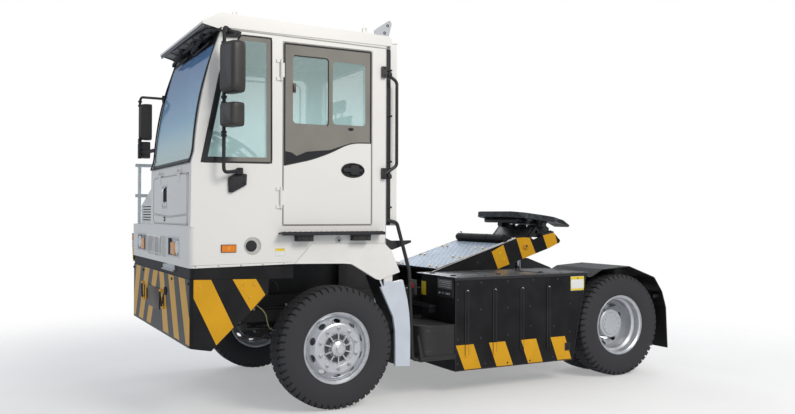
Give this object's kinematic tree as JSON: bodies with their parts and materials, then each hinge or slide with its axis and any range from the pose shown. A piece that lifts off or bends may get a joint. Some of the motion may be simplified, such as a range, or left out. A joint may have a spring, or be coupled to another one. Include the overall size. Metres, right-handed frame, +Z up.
{
  "type": "terminal tractor",
  "caption": "Yard tractor with a half-width offset cab, striped bumper and side boxes, and a fifth wheel on a lifting boom.",
  "frame": {"origin": "on the floor, under the middle of the bounding box", "axes": "front faces -Y, the vehicle's left is +X, +Z up"},
  "size_m": [2.7279, 5.084, 3.3759],
  "materials": {
    "cab_white": "satin clear coat",
    "black_paint": "satin",
    "chassis_paint": "satin",
    "tyre": "matt",
    "rim_silver": "satin silver",
    "glass": "clear",
    "tread_aluminium": "raised diamond pattern",
    "cast_iron": "matt",
    "chrome": "polished",
    "black_plastic": "matt",
    "grey_plastic": "matt",
    "seat_fabric": "woven",
    "lamp_lens": "clear lens",
    "galvanised": "dull"
  },
  "bodies": {
    "chassis": {"chassis_frame": "chassis_paint", "front_axle": "cast_iron", "rear_axle": "cast_iron", "engine_block": "cast_iron", "front_bumper": "black_paint", "nose_body": "cab_white", "front_mudguards": "cab_white", "cab_left_wall": "cab_white", "cab_right_wall": "cab_white", "cab_rear_wall": "cab_white", "cab_front_wall": "cab_white", "cab_floor": "grey_plastic", "cab_roof": "cab_white", "windscreen": "glass", "cab_windows": "glass", "driver_seat": "seat_fabric", "dashboard": "grey_plastic", "steering_wheel": "black_plastic", "mirrors": "black_plastic", "handrails": "black_paint", "steps": "black_paint", "lamps": "lamp_lens", "engine_hood": "cab_white", "side_boxes": "black_paint", "deck_plates": "black_paint", "rear_fenders": "black_paint"},
    "steer_left": {"knuckle_left": "cast_iron"},
    "steer_right": {"knuckle_right": "cast_iron"},
    "tie_rod": {"tie_rod": "cast_iron"},
    "front_wheel_left": {"front_wheel_left": "rim_silver", "front_tyre_left": "tyre"},
    "front_wheel_right": {"front_wheel_right": "rim_silver", "front_tyre_right": "tyre"},
    "rear_wheels_left": {"rear_wheels_left": "rim_silver", "rear_tyres_left": "tyre"},
    "rear_wheels_right": {"rear_wheels_right": "rim_silver", "rear_tyres_right": "tyre"},
    "door": {"door": "cab_white", "door_glass": "glass"},
    "front_flap": {"front_flap": "cab_white"},
    "lift_boom": {"lift_boom": "black_paint", "boom_tread_plate": "tread_aluminium", "fifth_wheel_bracket": "black_paint"},
    "fifth_wheel": {"fifth_wheel_plate": "cast_iron"},
    "lift_barrels": {"lift_barrels": "black_paint"},
    "lift_rods": {"lift_rods": "chrome"}
  },
  "joints": [
    {"name": "steer_left", "type": "hinge", "parent": "chassis", "child": "steer_left", "pos_m": [0.754, -1.267, 0.52], "axis": [0, 0, 1], "range_deg": [-38, 38]},
    {"name": "steer_right", "type": "hinge", "parent": "chassis", "child": "steer_right", "pos_m": [-1.026, -1.267, 0.52], "axis": [0, 0, 1], "range_deg": [-38, 38]},
    {"name": "tie_rod_pivot", "type": "hinge", "parent": "steer_left", "child": "tie_rod", "pos_m": [0.754, -1.067, 0.39], "axis": [0, 0, 1], "range_deg": [-38, 38]},
    {"name": "front_left_spin", "type": "hinge", "parent": "steer_left", "child": "front_wheel_left", "pos_m": [0.91, -1.267, 0.52], "axis": [1, 0, 0], "continuous": true},
    {"name": "front_right_spin", "type": "hinge", "parent": "steer_right", "child": "front_wheel_right", "pos_m": [-1.182, -1.267, 0.52], "axis": [1, 0, 0], "continuous": true},
    {"name": "rear_left_spin", "type": "hinge", "parent": "chassis", "child": "rear_wheels_left", "pos_m": [0.752, 1.89, 0.52], "axis": [1, 0, 0], "continuous": true},
    {"name": "rear_right_spin", "type": "hinge", "parent": "chassis", "child": "rear_wheels_right", "pos_m": [-1.024, 1.89, 0.52], "axis": [1, 0, 0], "continuous": true},
    {"name": "door_hinge", "type": "hinge", "parent": "chassis", "child": "door", "pos_m": [1.056, -1.779, 2.297], "axis": [0, 0, -1], "range_deg": [0, 80]},
    {"name": "flap_hinge", "type": "hinge", "parent": "chassis", "child": "front_flap", "pos_m": [0.334, -2.519, 1.978], "axis": [-1, 0, 0], "range_deg": [0, 75]},
    {"name": "boom_lift", "type": "hinge", "parent": "chassis", "child": "lift_boom", "pos_m": [-0.136, 0.113, 0.965], "axis": [1, 0, 0], "range_deg": [-17, 2]},
    {"name": "fifth_wheel_tilt", "type": "hinge", "parent": "lift_boom", "child": "fifth_wheel", "pos_m": [-0.136, 1.51813, 1.53367], "axis": [1, 0, 0], "range_deg": [0, 26]},
    {"name": "cylinder_swing", "type": "hinge", "parent": "chassis", "child": "lift_barrels", "pos_m": [-0.136, 1.293, 0.43], "axis": [1, 0, 0], "range_deg": [-4, 0.52]},
    {"name": "cylinder_stroke", "type": "slide", "parent": "lift_barrels", "child": "lift_rods", "axis": [0, -0.0568, 0.9984], "range_m": [-0.3467, 0.0417]}
  ],
  "couplings": [
    {"joint": "steer_right", "follows": "steer_left", "ratio": 1},
    {"joint": "tie_rod_pivot", "follows": "steer_left", "ratio": -1},
    {"joint": "cylinder_swing", "follows": "boom_lift", "ratio": 0.2325},
    {"joint": "cylinder_stroke", "follows": "boom_lift", "m_per_rad": 1.165}
  ]
}
